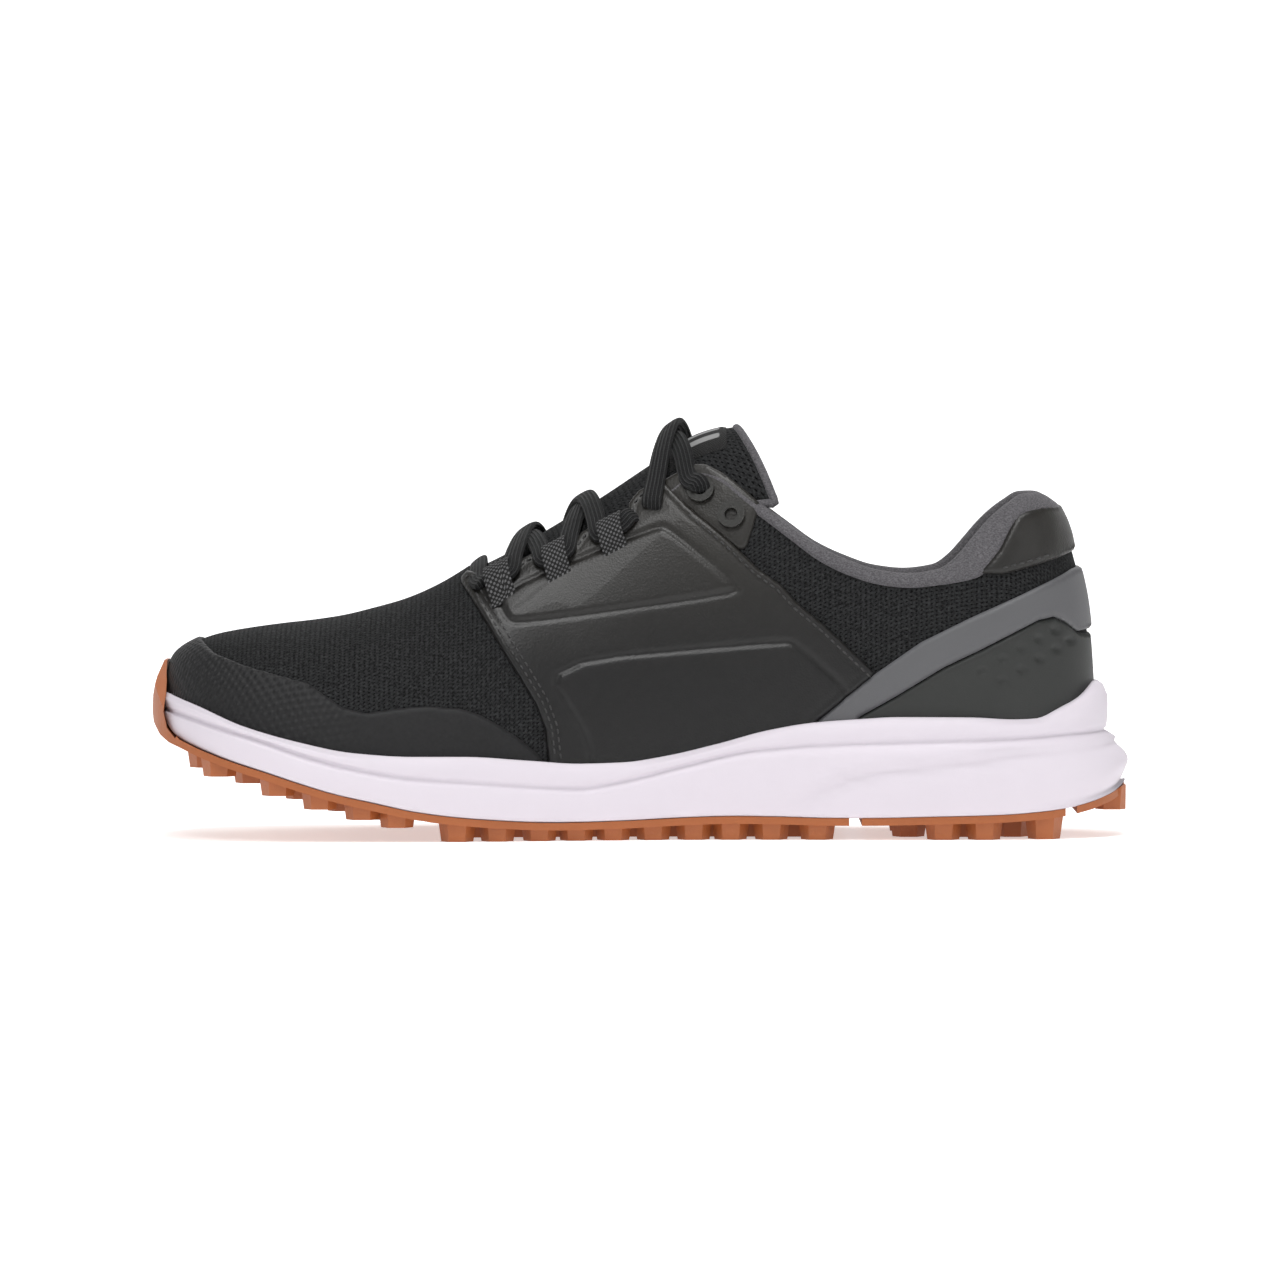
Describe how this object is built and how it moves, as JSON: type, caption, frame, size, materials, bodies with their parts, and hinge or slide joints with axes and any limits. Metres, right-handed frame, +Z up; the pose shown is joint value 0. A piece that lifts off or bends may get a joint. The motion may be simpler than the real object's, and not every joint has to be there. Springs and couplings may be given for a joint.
{
  "type": "golf shoe",
  "caption": "Low laced right golf shoe with a spikeless gum outsole, cushioned midsole, mesh upper with leather-look saddle, padded collar and separate tongue.",
  "frame": {"origin": "on the ground, below the middle of the shoe: the centre of the bounding box of all parts, at its lowest plane", "axes": "-X towards the toe, -Y towards the medial side, +Z up"},
  "size_m": [0.3007, 0.1081, 0.1266],
  "materials": {
    "gum_rubber": "satin gum rubber",
    "midsole_foam": "matt moulded foam",
    "board": "felted board",
    "insole_foam": "matt foam",
    "lining_knit": "knitted",
    "mesh": "open weave",
    "toe_film": "matt embossed film",
    "stiffener": "matt",
    "synthetic_leather": "satin grain",
    "heel_film": "satin moulded film",
    "heel_panel_film": "matt moulded film",
    "collar_knit": "heathered knit",
    "padding": "open-cell foam",
    "label": "woven label",
    "eyelet_metal": "black satin",
    "webbing": "ticked webbing",
    "lace": "woven"
  },
  "bodies": {
    "rearfoot": {"outsole_midfoot": "gum_rubber", "outsole_heel": "gum_rubber", "outsole_heel_rear": "gum_rubber", "midsole_rearfoot": "midsole_foam", "strobel_board": "board", "insole_foam": "insole_foam", "insole_topcloth": "lining_knit", "vamp_mesh": "mesh", "quarter_mesh_medial": "mesh", "quarter_mesh_lateral": "mesh", "toe_overlay": "toe_film", "heel_counter": "stiffener", "vamp_lining": "lining_knit", "saddle_medial": "synthetic_leather", "saddle_lateral": "synthetic_leather", "eyestay_patch_medial": "synthetic_leather", "eyestay_patch_lateral": "synthetic_leather", "heel_tab": "synthetic_leather", "heel_band": "heel_film", "heel_panel": "heel_panel_film", "collar_lining": "collar_knit", "collar_foam": "padding", "eyelet_rings_medial": "eyelet_metal", "eyelet_rings_lateral": "eyelet_metal", "lace_loops_medial": "webbing", "lace_loops_lateral": "webbing", "shoelace": "lace"},
    "forefoot": {"outsole_forefoot": "gum_rubber", "midsole_forefoot": "midsole_foam", "toe_puff": "stiffener"},
    "tongue": {"tongue_face": "mesh", "tongue_foam": "padding", "tongue_lining": "lining_knit", "tongue_label": "label"}
  },
  "joints": [
    {"name": "forefoot_flex", "type": "hinge", "parent": "rearfoot", "child": "forefoot", "pos_m": [-0.065, 0, 0.0275], "axis": [0, 1, 0], "range_deg": [0, 25], "deforming": ["vamp_mesh", "vamp_lining", "toe_overlay", "insole_foam", "insole_topcloth", "strobel_board"]},
    {"name": "tongue_fold", "type": "hinge", "parent": "rearfoot", "child": "tongue", "pos_m": [-0.05, 0, 0.076], "axis": [0, 1, 0], "range_deg": [0, 10]}
  ]
}
